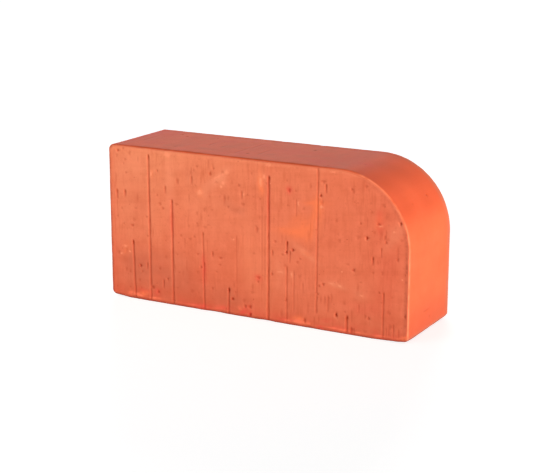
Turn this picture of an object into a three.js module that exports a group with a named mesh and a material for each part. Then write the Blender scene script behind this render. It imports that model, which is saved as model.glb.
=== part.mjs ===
// A solid fired-clay bullnose brick, for a rounded wall corner, sill or coping.
// The clay column leaves the die with this profile and is cut into bricks by wires,
// so the two large faces are wire-cut and all the others are smooth from the die.
// Millimetres, +Z up. X runs along the brick, with the bullnose at +X, and Y runs
// through its thickness. The brick stands on its long narrow side, with the origin
// at the middle of that side.

import * as THREE from "three";

// Driving dimensions
const brickLength = 240; // along X, end to end
const brickHeight = 115; // along Z, the width of the brick when it is laid flat
const brickThickness = 71; // along Y, from one cutting wire to the next
const noseRadius = 52; // the bullnose, tangent to the top and to the end
const dieCornerRadius = 4; // the die's other three corners
const cutArrisRadius = 0.8; // the softened edge all round each wire-cut face
const cutArrisFacets = 3; // facets across that edge
const chordError = 0.01; // the most that a facet may lie inside its arc

const firedClay = new THREE.MeshStandardMaterial({
  name: "fired_clay",
  color: 0xe87652,
  roughness: 0.9,
  metalness: 0,
});

// Facets of a quarter turn that keeps the chord error.
function quarterFacets(radius) {
  const facetAngle = 2 * Math.acos(1 - chordError / radius);
  return Math.ceil(Math.PI / 2 / facetAngle);
}

// A quarter turn, anticlockwise about a centre, from one tangent point to the next.
function quarterArc(centreX, centreZ, radius, startAngle) {
  const facets = quarterFacets(radius);
  const points = [];
  for (let i = 0; i <= facets; i++) {
    const angle = startAngle + (i / facets) * (Math.PI / 2);
    points.push(
      new THREE.Vector2(
        centreX + radius * Math.cos(angle),
        centreZ + radius * Math.sin(angle),
      ),
    );
  }
  return points;
}

// The die's section, anticlockwise from the foot of the nose end.
function dieSection() {
  const endX = brickLength / 2;
  const squareEndX = -brickLength / 2;
  const cornerInset = dieCornerRadius;
  return new THREE.Shape([
    ...quarterArc(endX - cornerInset, cornerInset, dieCornerRadius, -Math.PI / 2),
    ...quarterArc(endX - noseRadius, brickHeight - noseRadius, noseRadius, 0),
    ...quarterArc(
      squareEndX + cornerInset,
      brickHeight - cornerInset,
      dieCornerRadius,
      Math.PI / 2,
    ),
    ...quarterArc(squareEndX + cornerInset, cornerInset, dieCornerRadius, Math.PI),
  ]);
}

// The column between two cuts. The softened edges roll inwards from the section,
// so the die's own size and the distance between the wires both stay true.
function cutBrick() {
  const straightDepth = brickThickness - 2 * cutArrisRadius;
  const geometry = new THREE.ExtrudeGeometry(dieSection(), {
    depth: straightDepth,
    steps: 1,
    bevelEnabled: true,
    bevelThickness: cutArrisRadius,
    bevelSize: cutArrisRadius,
    bevelOffset: -cutArrisRadius,
    bevelSegments: cutArrisFacets,
  });
  geometry.translate(0, 0, -straightDepth / 2);
  return geometry;
}

const brick = new THREE.Mesh(cutBrick(), firedClay);
brick.name = "bullnose_brick";
brick.rotation.x = Math.PI / 2; // the section is drawn flat and stood upright

const part = new THREE.Group();
part.name = "clay_brick";
part.add(brick);

export default part;
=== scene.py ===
import math
import random

import bpy
import numpy as np
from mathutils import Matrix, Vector, noise
from mathutils.geometry import delaunay_2d_cdt


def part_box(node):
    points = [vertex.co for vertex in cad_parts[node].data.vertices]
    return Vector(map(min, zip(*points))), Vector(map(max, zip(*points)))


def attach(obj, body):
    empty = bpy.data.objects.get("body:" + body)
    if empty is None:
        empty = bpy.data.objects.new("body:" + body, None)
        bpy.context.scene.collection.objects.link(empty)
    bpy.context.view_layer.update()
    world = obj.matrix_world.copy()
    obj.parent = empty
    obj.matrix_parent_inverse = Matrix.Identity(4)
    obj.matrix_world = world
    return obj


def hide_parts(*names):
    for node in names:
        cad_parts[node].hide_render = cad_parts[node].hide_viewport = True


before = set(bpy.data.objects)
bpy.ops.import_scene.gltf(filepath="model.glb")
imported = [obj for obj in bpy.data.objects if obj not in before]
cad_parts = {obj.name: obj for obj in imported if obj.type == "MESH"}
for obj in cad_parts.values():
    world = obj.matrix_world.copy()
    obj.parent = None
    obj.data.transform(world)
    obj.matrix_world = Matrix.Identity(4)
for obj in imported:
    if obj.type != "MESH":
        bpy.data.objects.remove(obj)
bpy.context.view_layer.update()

mm = 0.001  # the dictionaries below are in millimetres and degrees
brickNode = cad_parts["bullnose_brick"]
brickLow, brickHigh = (np.array(corner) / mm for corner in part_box("bullnose_brick"))
leftEnd, rightEnd, brickHeight = brickLow[0], brickHigh[0], brickHigh[2]
brickLength = rightEnd - leftEnd
halfThick = (brickHigh[1] - brickLow[1]) / 2
nodePoints = np.array([v.co for v in brickNode.data.vertices]) / mm
topFlat = nodePoints[nodePoints[:, 2] > brickHeight - 0.01][:, 0]  # between the small corner and the nose
noseRadius = rightEnd - topFlat.max()
dieCornerRadius = topFlat.min() - leftEnd
print("frame loaded, nose radius", round(noseRadius, 2), "mm, die corners", round(dieCornerRadius, 2), "mm")


camera = {
    "place": (479.47, -864.07, 306.12),
    "yaw": 29.065,
    "pitch": 14.416,
    "lens": 92.79,
    "sensorWidth": 36,
    "clipEnd": 50000,
}

studio = {
    "worldLevel": 0.17,  # what lights the brick; the camera and the gloss see plain white
    "floorSize": 8000,
    "floorTone": 0.55,  # for the camera; the light on the brick gets the bounce instead
    "floorBounce": 0.22,
    "floorGlow": 0.78,  # lifts the floor to white for the camera, with the shadow kept
    "sunDistance": 2000,  # only for show, since a sun lights the same from anywhere
}

# lamps at infinity: the direction round the brick that each comes from, how wide it looks and its level
broadLamps = [
    {"name": "endLamp", "azimuth": 74, "elevation": 3, "width": 9, "level": 1.40},
    {"name": "frontLamp", "azimuth": -30, "elevation": 8, "width": 26, "level": 0.455},
    {"name": "backLamp", "azimuth": 205, "elevation": 12, "width": 26, "level": 0.95},
]
# a small softbox in front, up to the left, for the light that falls off along the front face
nearLamp = {"azimuth": -40, "elevation": 12, "distance": 800, "size": 400, "level": 0.20}


def newObject(name, data):
    made = bpy.data.objects.new(name, data)
    bpy.context.scene.collection.objects.link(made)
    return made


def makeCamera():
    data = bpy.data.cameras.new("camera")
    data.lens = camera["lens"]
    data.sensor_width = camera["sensorWidth"]
    data.clip_end = camera["clipEnd"] * mm
    cameraObject = newObject("camera", data)
    cameraObject.location = Vector(camera["place"]) * mm
    cameraObject.rotation_euler = (math.radians(90 - camera["pitch"]), 0, math.radians(camera["yaw"]))
    bpy.context.scene.camera = cameraObject


def emptyTree(owner):
    # the node tree of a world or a material, without the nodes that it starts with
    owner.use_nodes = True
    owner.node_tree.nodes.clear()
    return owner.node_tree


def addNode(tree, kind, inputs=None, **settings):
    # one node with its settings; an input takes a value or another node's socket
    node = tree.nodes.new(kind)
    for key, value in settings.items():
        setattr(node, key, value)
    for key, value in (inputs or {}).items():
        if isinstance(value, bpy.types.NodeSocket):
            tree.links.new(value, node.inputs[key])
        else:
            node.inputs[key].default_value = value
    return node


def mathNode(tree, operation, a, b):
    return addNode(tree, "ShaderNodeMath", {0: a, 1: b}, operation=operation).outputs[0]


def multiply(tree, a, b):
    return mathNode(tree, "MULTIPLY", a, b)


def rangeNode(tree, value, fromMin=0.0, fromMax=1.0, toMin=0.0, toMax=1.0):
    limits = {"Value": value, "From Min": fromMin, "From Max": fromMax, "To Min": toMin, "To Max": toMax}
    return addNode(tree, "ShaderNodeMapRange", limits).outputs["Result"]


def seenDirectly(tree):
    # 1 for rays that see the floor or the world straight, in a gloss or through glass
    path = addNode(tree, "ShaderNodeLightPath").outputs
    either = mathNode(tree, "MAXIMUM", path["Is Camera Ray"], path["Is Glossy Ray"])
    return mathNode(tree, "MAXIMUM", either, path["Is Transmission Ray"])


def makeWorld():
    world = bpy.data.worlds.new("studioWorld")
    bpy.context.scene.world = world
    tree = emptyTree(world)
    level = rangeNode(tree, seenDirectly(tree), toMin=studio["worldLevel"])
    light = addNode(tree, "ShaderNodeBackground", {"Color": (1, 1, 1, 1), "Strength": level})
    addNode(tree, "ShaderNodeOutputWorld", {"Surface": light.outputs[0]})


def makeFloor():
    half = studio["floorSize"] / 2 * mm
    corners = [(-half, -half, 0), (half, -half, 0), (half, half, 0), (-half, half, 0)]
    mesh = bpy.data.meshes.new("floor")
    mesh.from_pydata(corners, [], [(0, 1, 2, 3)])
    floor = newObject("floor", mesh)
    material = bpy.data.materials.new("floorPaper")
    tree = emptyTree(material)
    direct = addNode(tree, "ShaderNodeLightPath").outputs["Is Camera Ray"]
    tone = rangeNode(tree, direct, toMin=studio["floorBounce"], toMax=studio["floorTone"])
    paper = addNode(tree, "ShaderNodeBsdfDiffuse", {"Color": tone})
    glow = rangeNode(tree, seenDirectly(tree), toMax=studio["floorGlow"])
    light = addNode(tree, "ShaderNodeEmission", {"Strength": glow})
    both = addNode(tree, "ShaderNodeAddShader", {0: paper.outputs[0], 1: light.outputs[0]})
    addNode(tree, "ShaderNodeOutputMaterial", {"Surface": both.outputs[0]})
    mesh.materials.append(material)


def direction(settings):
    azimuth, elevation = math.radians(settings["azimuth"]), math.radians(settings["elevation"])
    return Vector((math.sin(azimuth) * math.cos(elevation), -math.cos(azimuth) * math.cos(elevation),
                   math.sin(elevation)))


def placeLamp(lamp, towards, distance):
    lampObject = newObject(lamp.name, lamp)
    lampObject.location = Vector((0, 0, brickHeight / 2 * mm)) + towards * distance
    lampObject.rotation_euler = towards.to_track_quat("Z", "Y").to_euler()
    lampObject.visible_camera = False
    lampObject.visible_glossy = False


def makeLamps():
    # level 1 lights a matt face that is turned to the lamp so that its colour renders as written
    for settings in broadLamps:
        lamp = bpy.data.lights.new(settings["name"], "SUN")
        lamp.angle = math.radians(settings["width"])
        lamp.energy = settings["level"] * math.pi
        placeLamp(lamp, direction(settings), studio["sunDistance"] * mm)
    lamp = bpy.data.lights.new("nearSoftbox", "AREA")
    lamp.size = nearLamp["size"] * mm
    distance = nearLamp["distance"] * mm
    lamp.energy = nearLamp["level"] * (math.pi * distance) ** 2
    placeLamp(lamp, direction(nearLamp), distance)


makeCamera()
makeWorld()
makeFloor()
makeLamps()
print("camera, floor and lamps set")


# The wire goes down through each large face and drags grit with it. Each piece of grit leaves a score from
# where the wire caught it down to where it was lost: a torn pit at its head, and shallower downwards.
# topX, footX, top, foot, width, depth, and how deep its head is against the rest
frontScores = [
    (-100.1, -99, 44.8, 2, 1.05, 0.7, 1.7), (-85.3, -85.2, 109.8, 1.2, 1.1, 0.8, 1.2),
    (-65.7, -65.7, 78.8, 1.6, 1.1, 0.8, 1.1), (-39.9, -39.4, 58, 0.6, 0.85, 0.4, 1.3),
    (-39.3, -39.2, 36, 0.6, 1, 0.35, 1.4), (-18.6, -19, 19.9, 0.6, 1, 0.75, 1.7),
    (13.9, 13.3, 104.4, 0.6, 1.15, 0.85, 1.3), (28.3, 28.1, 60, 50.8, 0.9, 0.7, 1.5),
    (28.1, 28.1, 42, 0.6, 0.9, 0.4, 1), (52, 51.2, 114, 12, 0.9, 0.5, 1),
    (33.7, 33.6, 39.4, 10.5, 0.75, 0.22, 1.1), (101.8, 101.6, 33.7, 1.5, 0.85, 0.45, 1.1),
    (74.8, 74.5, 13.5, 1.6, 1.1, 0.75, 1.3), (78.3, 78.3, 5.8, 0.8, 1.2, 0.6, 1.2),
    (80.2, 80.3, 5.6, 1.2, 0.8, 0.35, 1), (-12.2, -12, 58.5, 13, 0.7, 0.16, 1),
    (60.3, 60.1, 25.5, 14, 0.7, 0.25, 1.2), (8.4, 8.2, 82, 22, 0.6, 0.14, 1),
    (10.8, 10.6, 76, 30, 0.5, 0.1, 1), (-74, -74, 18.2, 12.2, 0.85, 0.45, 1.2),
    (-88, -88, 29.2, 24.6, 0.9, 0.4, 1.3), (-48.9, -48.9, 97.8, 92.3, 1.1, 0.5, 1.1),
    (-48.9, -48.9, 103.8, 96, 0.7, 0.18, 1), (-113.4, -113.3, 81.6, 75, 1.2, 0.55, 1.4),
    (-113.5, -113.3, 74, 61, 0.7, 0.14, 1), (-106.3, -106.2, 81.9, 76.8, 1.25, 0.55, 1.4),
    (-71.3, -71.2, 88.2, 83.2, 1, 0.42, 1.2), (-60.8, -60.7, 94.6, 91.2, 1.4, 0.4, 1.1),
    (-34.8, -34.8, 110.6, 105, 1, 0.18, 1), (-32, -31.9, 45, 41.2, 0.95, 0.45, 1.2),
    (-55.2, -55.2, 51.5, 45, 0.8, 0.16, 1), (-21.8, -21.8, 86.8, 80.8, 1.1, 0.26, 1.1),
    (-18.8, -18.8, 86.6, 83.8, 0.9, 0.2, 1), (-8, -7.9, 91.6, 86, 1.05, 0.34, 1.2),
    (4.4, 4.3, 67.2, 63.2, 1.3, 0.34, 1.1), (16.7, 16.7, 52.2, 48.6, 0.85, 0.45, 1.2),
    (0.8, 0.8, 25.4, 20.6, 1.2, 0.16, 1), (24.2, 24.2, 64, 58, 0.8, 0.12, 1),
    (30.5, 30.4, 53.4, 44.8, 0.8, 0.36, 1.2), (35.4, 35.3, 90.4, 78.8, 0.6, 0.24, 1.1),
    (40.8, 40.9, 31.8, 24.5, 0.85, 0.18, 1.1), (58.1, 58, 103.4, 97.4, 0.95, 0.55, 1.3),
    (62.9, 62.8, 27, 22, 0.8, 0.18, 1), (57.7, 57.6, 24.8, 19.6, 0.8, 0.2, 1),
    (54.7, 54.7, 23.6, 19.8, 0.9, 0.16, 1), (83.6, 83.6, 22.8, 16.5, 0.8, 0.2, 1.1),
    (93.5, 93.5, 57.4, 52, 0.95, 0.65, 1.3), (99.6, 99.5, 64.4, 57.8, 0.8, 0.4, 1.2),
    (99.1, 99.1, 75.2, 71.2, 1.6, 0.16, 1), (102.1, 102, 73.2, 70.2, 0.9, 0.4, 1.2),
    (111.4, 111.4, 66, 58, 1.1, 0.16, 1), (104.2, 104.2, 9.4, 3, 0.7, 0.22, 1),
    (106, 106, 11.4, 3.4, 0.75, 0.26, 1), (109.3, 109.4, 12.4, 3, 0.8, 0.32, 1.1),
    (113.2, 113.3, 9.6, 3.4, 0.7, 0.22, 1),
]

# x, z, radius, depth and how much taller than wide the pits of the front face are
frontPits = [
    (88.9, 69.9, 1.15, 0.95, 1.3), (54.1, 95.2, 1.1, 0.8, 1), (66.6, 12.9, 1.3, 0.95, 1.5),
    (113.3, 82.6, 1.05, 0.85, 1.4), (32.9, 54.5, 1.15, 0.8, 1), (27.8, 52.1, 1.05, 0.85, 1),
    (-93.9, 26.3, 1.3, 0.75, 1.1), (-15.7, 12.2, 1.3, 0.8, 0.9), (-18.5, 17.9, 1.2, 0.7, 1.4),
    (-33.3, 101.3, 1.35, 0.5, 1.2), (-111.8, 110.7, 1.1, 0.6, 1), (-107, 112.8, 1.1, 0.4, 0.9),
    (79.4, 46.5, 1.2, 0.55, 0.9), (56.4, 33.3, 1.15, 0.5, 1.1), (53.2, 31.7, 0.95, 0.4, 1.1),
    (52.2, 25.8, 0.9, 0.45, 1.2), (91, 14.2, 1.2, 0.45, 1.2), (77.3, 101.9, 0.95, 0.45, 1.3),
    (97.2, 80.5, 1.15, 0.45, 0.7), (84.1, 79.4, 0.85, 0.4, 1.2), (102.9, 68.5, 1.15, 0.4, 1.1),
    (111.5, 57.8, 1.15, 0.4, 1.2), (117.6, 75.8, 0.95, 0.45, 1), (117.6, 19.4, 0.95, 0.4, 1.2),
    (30, 96.2, 1.3, 0.45, 1.2), (34.9, 96.3, 0.8, 0.22, 1), (16.3, 35.2, 1.2, 0.4, 1.3),
    (5.6, 31, 1.25, 0.38, 0.7), (5.3, 28, 1, 0.28, 1), (18.8, 58.8, 1.15, 0.34, 1),
    (24.6, 50.3, 1.1, 0.25, 0.8), (36.3, 46.2, 1.1, 0.28, 0.9), (38.5, 48.9, 1, 0.25, 1),
    (-25.4, 41.2, 1.3, 0.4, 0.6), (-26, 36, 1.1, 0.25, 0.6), (-28.8, 30.5, 0.9, 0.2, 0.8),
    (-32.3, 17.6, 1.1, 0.28, 1), (-83.5, 11.2, 1.6, 0.5, 0.9), (-78.8, 8.4, 1.15, 0.5, 1.1),
    (-77, 26.2, 1.2, 0.26, 1), (-70.4, 19.3, 0.95, 0.42, 1.1), (-106.8, 22, 1.2, 0.22, 2),
    (-92.6, 22, 1, 0.24, 1.3), (-100.5, 56.1, 1.25, 0.48, 0.6), (-47, 54, 1.15, 0.26, 1.1),
    (-58.4, 53.5, 1.15, 0.24, 0.9), (-50.8, 51.8, 1.2, 0.24, 0.7), (-44.5, 41.5, 1.05, 0.3, 0.9),
    (-41.7, 32.2, 1.1, 0.4, 1.2), (-87.2, 49.5, 1.1, 0.24, 0.8), (-87.6, 63.8, 1, 0.26, 0.8),
    (-73.6, 71.8, 1.3, 0.34, 0.9), (-76.2, 75, 1.3, 0.28, 0.9), (-78.3, 81, 1, 0.24, 1.3),
    (-77.9, 99.2, 1, 0.24, 1.1), (-61.8, 76, 1.3, 0.2, 0.8), (-104.9, 94.9, 1, 0.22, 1),
    (-98.6, 60.5, 1.5, 0.16, 1.2), (-113.5, 61.5, 0.9, 0.22, 1), (-44.3, 105.4, 1, 0.26, 0.9),
    (-44.6, 64, 1, 0.2, 1), (-10.1, 95.4, 1.2, 0.3, 1), (-30.7, 105.3, 0.95, 0.26, 1),
    (-6.6, 82.3, 1.4, 0.24, 0.7), (-18.9, 79, 1, 0.22, 1.2), (-3.2, 89.3, 0.9, 0.2, 1),
    (0.4, 105.1, 0.8, 0.1, 0.8), (1.6, 88.4, 0.7, 0.1, 0.9), (28.8, 85.6, 0.85, 0.12, 0.9),
    (-35, 64, 1.1, 0.12, 0.5), (-1.4, 8.6, 1.5, 0.62, 0.9), (-5.2, 8.4, 1.3, 0.45, 1.2),
    (-1.2, 2.8, 1.35, 0.65, 1.3), (42.2, 5.2, 1.4, 0.55, 1.6), (55.2, 90.4, 1.2, 0.22, 1),
    (56.2, 105.1, 1.6, 0.32, 0.5), (66.2, 79, 1.1, 0.16, 1.2), (68.4, 65.6, 1.4, 0.16, 1),
    (82.4, 69.8, 1.6, 0.16, 1.2), (75, 50, 1.2, 0.16, 0.5), (88, 105, 1.3, 0.3, 1),
    (-12.9, 77.6, 2.8, 0.06, 0.7), (27.6, 17.8, 1.2, 0.42, 1.6), (73.2, 16.2, 0.8, 0.2, 1),
]

# broad soft patches by tone: x, z, half length, half width, tilt and how strong
frontWashes = {
    "fair": [
        (-104, 102, 16, 11, 0, 0.35), (-106, 84, 14, 5, 90, 0.2), (-95, 97, 10, 3, 90, 0.25),
        (-67.5, 92, 20, 4, 90, 0.35), (-58, 104, 10, 5, 0, 0.25), (-27, 98.5, 10, 2.4, 38, 0.75),
        (-23, 97, 4, 2.4, 80, 0.5), (-36, 90, 9, 3.6, 30, 0.35), (-42, 87, 2.6, 1.8, 0, 0.9),
        (-22, 104, 6, 3, 40, 0.3), (-30, 72, 24, 14, 0, 0.14), (7, 101, 5.5, 2.2, 90, 0.6),
        (1, 50, 18, 8, 90, 0.2), (0, 28, 12, 7, 90, 0.14), (21, 40, 14, 3.6, 90, 0.22),
        (-60, 30, 14, 8, 90, 0.2), (24, 37.5, 4, 2, 0, 0.35), (33, 36, 4, 1.6, 90, 0.3),
        (42, 54, 9, 2, -30, 0.65), (67, 34, 7, 1.8, -8, 0.45), (84, 29, 5, 3.4, -30, 0.3),
        (108, 72, 9, 4, 60, 0.5), (18, 22, 12, 6, 90, 0.1), (38, 36, 58, 20, 0, 0.15),
        (2, 40, 26, 18, 90, 0.11), (70, 14, 44, 9, 0, 0.1), (94, 9, 10, 5, 0, 0.08),
        (-111, 20, 12, 7, 90, 0.13), (-91, 38, 10, 6, 0, 0.12),
    ],
    "dull": [
        (-88, 22, 22, 17, 0, 0.55), (-104, 34, 8, 5, 90, 0.35), (-55, 20, 16, 9, 90, 0.3),
        (-70, 20, 12, 6, 90, 0.2), (-15, 79, 10, 3.4, -22, 0.24), (-20, 83, 6, 2.4, -60, 0.2),
        (-8, 78, 4, 2, 30, 0.2), (-16, 12, 12, 7, 0, 0.35), (-98, 68, 22, 18, 90, 0.14),
        (-32, 14, 15, 9, 0, 0.17), (-50, 97, 6, 4, 90, 0.25), (30, 54, 7, 4, 90, 0.15),
    ],
    "ruddy": [
        (-39.5, 31, 9, 2.2, 90, 0.75), (13.5, 85, 22, 2, 90, 0.3), (-66, 66, 12, 2, 90, 0.4),
        (30, 96.5, 2.2, 2.4, 0, 0.8), (5, 30.5, 3.2, 2.6, 0, 0.7), (104, 45, 40, 9, 90, 0.14),
        (98, 84, 5, 2.6, 90, 0.6), (98, 78, 4, 2.4, 90, 0.4), (88, 20, 10, 5, 0, 0.2),
        (-117.5, 62, 60, 4, 90, 0.15), (-92, 7, 6, 2.2, 0, 0.7), (-80, 8, 2.4, 2.6, 0, 0.7),
        (-47, 2.6, 9, 1.4, 2, 0.8), (-39.5, 2.8, 3.4, 1.3, 0, 1.2), (-25, 4, 6, 1.6, 8, 0.9),
        (-6, 4.5, 5, 2.4, 40, 0.8), (-1.5, 3, 1.6, 1.6, 0, 1.2), (27, 3, 5, 1.4, 5, 0.6),
        (54.5, 2.2, 2.8, 1.2, 0, 1), (68, 3.2, 8, 1.4, 0, 0.8), (60, 8, 5, 1.6, 10, 0.4),
        (98, 2.8, 5, 1, 3, 0.8),
    ],
    "smear": [
        (29, 67.5, 12, 2.6, 2, 0.55), (38, 68, 8, 4.5, 20, 0.75), (42, 72.5, 7, 4.5, 50, 0.6),
        (49, 80, 12, 2.2, 82, 0.6), (45, 65, 5, 3.5, 60, 0.5), (52.5, 87, 6, 2.6, 100, 0.8),
        (50, 89.5, 7, 1.8, 5, 0.8), (34, 75, 8, 3, 45, 0.3), (8.2, 95, 5, 2.2, 95, 0.6),
        (6.9, 100.5, 5.5, 1.8, 90, 0.8), (97.5, 82, 5, 2.4, 75, 0.45), (43, 53.5, 6, 1.4, -25, 0.3),
        (-83.3, 96, 4, 1.4, 90, 0.3), (-42, 87, 2.6, 2.2, 90, 0.45), (54, 77, 7, 2, 90, 0.2),
        (-106, 38, 5, 3, 70, 0.4), (-91, 5.6, 4, 1.6, 10, 0.8), (37, 6, 4, 1.6, 10, 0.8),
        (43, 3.6, 3, 1.2, 0, 0.5), (118, 4.5, 3, 1.2, 30, 0.7), (2, 40, 26, 18, 90, 0.15),
    ],
    "torn": [
        (-96, 3.4, 3.6, 1.2, -10, 1.6), (-103.5, 3.8, 2.6, 1.8, 0, 1), (-82, 2.8, 4.4, 0.9, 6, 1.4),
        (-50, 2.6, 5.5, 0.7, 3, 0.6), (-27, 3.8, 4, 1.4, 10, 0.5), (-9.8, 6.2, 1.4, 1.6, 60, 0.9),
        (28.5, 2.9, 2.2, 0.9, 5, 1.1), (37.5, 3.6, 4, 1.5, 3, 1.9), (45.5, 3.4, 1.6, 1, 0, 0.7),
        (66, 3.2, 5, 0.8, 2, 1), (71.5, 2.4, 4, 0.9, 5, 1.4), (83, 2.2, 3.4, 1, 0, 1.3),
        (88, 1.9, 4, 0.6, 4, 0.8), (99, 2.6, 3.6, 0.8, 3, 1.2), (-60, 2.2, 2, 0.6, 0, 0.35),
        (115, 3.6, 5, 0.8, 22, 0.6),
    ],
}

# x, z, half length, half width and tilt of small raised burrs, paler than the rest
frontBurrs = [
    (7.2, 100.4, 4.8, 1.2, 90), (10.1, 103.6, 2, 1.5, 90), (-83.5, 96, 3.2, 1.3, 90),
    (-27.5, 99.4, 5.5, 0.7, 30), (-42.5, 86.6, 1.6, 2.2, 90), (54.8, 87.4, 1.8, 1.2, 0),
    (-19.8, 103.9, 2.4, 1.9, 20), (-22.9, 95.7, 1.6, 1.4, 0), (-24.4, 93, 1.4, 1.2, 0),
    (-6.3, 89.3, 1.7, 1.1, 90), (36.8, 88, 2.6, 0.6, 90), (22.8, 37.4, 2.8, 0.5, 4),
    (31.8, 37, 1.4, 1, 90), (69, 33.8, 2, 1, -12), (62.5, 34.6, 1.8, 0.9, 0), (85.5, 29.4, 1, 0.8, 0),
    (98.6, 79.2, 1.8, 0.6, 12), (115.3, 44.5, 0.9, 0.7, 0), (70.6, 44.2, 0.8, 0.6, 0),
    (-69.4, 111.6, 3.4, 2.4, 0), (-42, 88, 1.2, 1, 0), (-106.8, 39.6, 1.9, 1.5, 0),
    (-103.4, 35.8, 1.1, 0.9, 0), (-110.8, 33.6, 1.3, 1.1, 0), (63.4, 112.4, 3.6, 0.9, 2),
    (108.6, 76.4, 1.3, 0.9, 0), (15, 99.5, 0.8, 0.5, 0), (14, 112.4, 3.6, 1.7, 0),
    (-14.5, 56, 1.1, 0.8, 20),
]


frontMarks = {"scores": frontScores, "pits": frontPits, "burrs": frontBurrs, "washes": frontWashes}

# marks drawn at random: how many, how far from the edge, and the range that each size is drawn from
backMarks = {
    "seed": 11,
    "longScores": {"count": 11, "place": (0.15, 0.85), "lean": (-0.9, 0.9), "width": (0.85, 1.2),
                   "depth": (0.3, 0.85), "head": (1, 1.6)},
    "scores": {"count": 26, "margin": 7, "lean": (-0.1, 0.1), "length": (3, 12), "width": (0.7, 1.1),
               "depth": (0.15, 0.6), "head": (1, 1.4)},
    "pits": {"count": 60, "margin": 2.5, "radius": (0.8, 1.4), "depth": (0.2, 0.95, 2), "tall": (0.6, 1.6)},
    "burrs": {"count": 24, "margin": 4, "halfLong": (1, 2.6), "halfWide": (0.6, 1.2), "tilt": (-90, 90)},
    "tears": {"count": 15, "place": (0.2, 0.8), "height": (2.2, 4.5), "halfLong": (2, 6),
              "halfWide": (0.6, 1.7), "tilt": (-8, 8), "strength": (0.4, 1)},
    "washes": {"count": 16, "margin": 6, "halfLong": (0.4, 1), "halfWide": (0.1, 0.4), "tilt": (-40, 40),
               "strength": (0.3, 1)},
    # the largest size and strength of each tone's washes
    "washTones": {"fair": (18, 0.30), "dull": (24, 0.40), "ruddy": (20, 0.28), "smear": (7, 0.40)},
}
faintMarks = {
    "frontSeed": 4,
    "backSeed": 8,
    "pits": {"count": 85, "margin": 2.5, "radius": (0.6, 1.5), "depth": (0.06, 0.20), "tall": (0.6, 1.8)},
    "scores": {"count": 26, "margin": 6, "lean": 0, "length": (2.5, 8), "width": (0.6, 1.3),
               "depth": (0.06, 0.16), "head": 1},
}


def pick(draw, given):
    # a fixed value, or one drawn from a range, where a third number draws it towards the range's low end
    if not isinstance(given, tuple):
        return given
    low, high, power = (*given, 1)[:3]
    return low + (high - low) * draw.random() ** power


def picks(draw, kind, *names):
    return [pick(draw, kind[name]) for name in names]


def somewhere(draw, margin):
    # a place on a cut face at least this far from its edge
    while True:
        x = draw.uniform(leftEnd + margin, rightEnd - margin)
        z = draw.uniform(margin, brickHeight - margin)
        beyond = math.hypot(max(0, x - rightEnd + noseRadius), max(0, z - brickHeight + noseRadius))
        if beyond < noseRadius - margin:
            return x, z


def sideBySide(draw, kind):
    # a place in each share of the brick's length
    for index in range(kind["count"]):
        yield leftEnd + brickLength * (index + pick(draw, kind["place"])) / kind["count"]


def drawMarks(draw, kind, *names):
    return [(*somewhere(draw, kind["margin"]), *picks(draw, kind, *names)) for _ in range(kind["count"])]


def drawScores(draw, kind):
    drawn = drawMarks(draw, kind, "lean", "length", "width", "depth", "head")
    return [(x, x + lean, top, max(1, top - length), *rest) for x, top, lean, length, *rest in drawn]


def drawLongScores(draw, kind):
    # the ones that go down to the foot
    scores = []
    for x in sideBySide(draw, kind):
        highest = brickHeight - 3 - max(0, x - rightEnd + noseRadius) * 0.8  # under the nose's curve
        top = max(14, min(draw.uniform(10, brickHeight + 20), highest))
        lean, *rest = picks(draw, kind, "lean", "width", "depth", "head")
        scores.append((x, x + lean, top, 0.6, *rest))
    return scores


def drawWashes(draw, kind, largest, strongest):
    washes = []
    for _ in range(kind["count"]):
        x, z = somewhere(draw, kind["margin"])
        halfLong, halfWide, tilt = picks(draw, kind, "halfLong", "halfWide", "tilt")
        tilt = draw.choice((0, 90, 90, 90, tilt))  # most of them follow the wire
        strength = strongest * pick(draw, kind["strength"])
        washes.append((x, z, largest * halfLong, largest * halfWide, tilt, strength))
    return washes


def drawBackMarks():
    # the back face has its own marks, of the same kinds as the front's
    draw = random.Random(backMarks["seed"])
    scores = drawLongScores(draw, backMarks["longScores"]) + drawScores(draw, backMarks["scores"])
    pits = drawMarks(draw, backMarks["pits"], "radius", "depth", "tall")
    burrs = drawMarks(draw, backMarks["burrs"], "halfLong", "halfWide", "tilt")
    tears = backMarks["tears"]
    washes = {"torn": [(x, *picks(draw, tears, "height", "halfLong", "halfWide", "tilt", "strength"))
                       for x in sideBySide(draw, tears)]}
    for tone, limits in backMarks["washTones"].items():
        washes[tone] = drawWashes(draw, backMarks["washes"], *limits)
    return {"scores": scores, "pits": pits, "burrs": burrs, "washes": washes}


def withFaintMarks(marks, seed):
    # many faint small pits and drag marks go besides the others
    draw = random.Random(seed)
    pits = marks["pits"] + drawMarks(draw, faintMarks["pits"], "radius", "depth", "tall")
    scores = marks["scores"] + drawScores(draw, faintMarks["scores"])
    return {**marks, "pits": pits, "scores": scores}


# by side: -1 is the front, 1 the back
marksOf = {-1: withFaintMarks(frontMarks, faintMarks["frontSeed"]),
           1: withFaintMarks(drawBackMarks(), faintMarks["backSeed"])}
print("marks set out:", len(marksOf[-1]["scores"]), "scores in front,", len(marksOf[1]["scores"]), "behind")


# the masks that the mesh carries to the clay: painted shade in the hollows, washes, burrs and lips (the
# lips partly a painted highlight), torn edges, dark lines of painted shade along the edges, and a deeper
# tone with painted shade low on the end
maskNames = ("hollowShade", "smear", "fair", "dull", "ruddy", "pale", "torn", "rim", "deepAndShade")
everywhere = slice(None)
leastRelief = 0.02  # every point stays at least this far inside the solid

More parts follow.
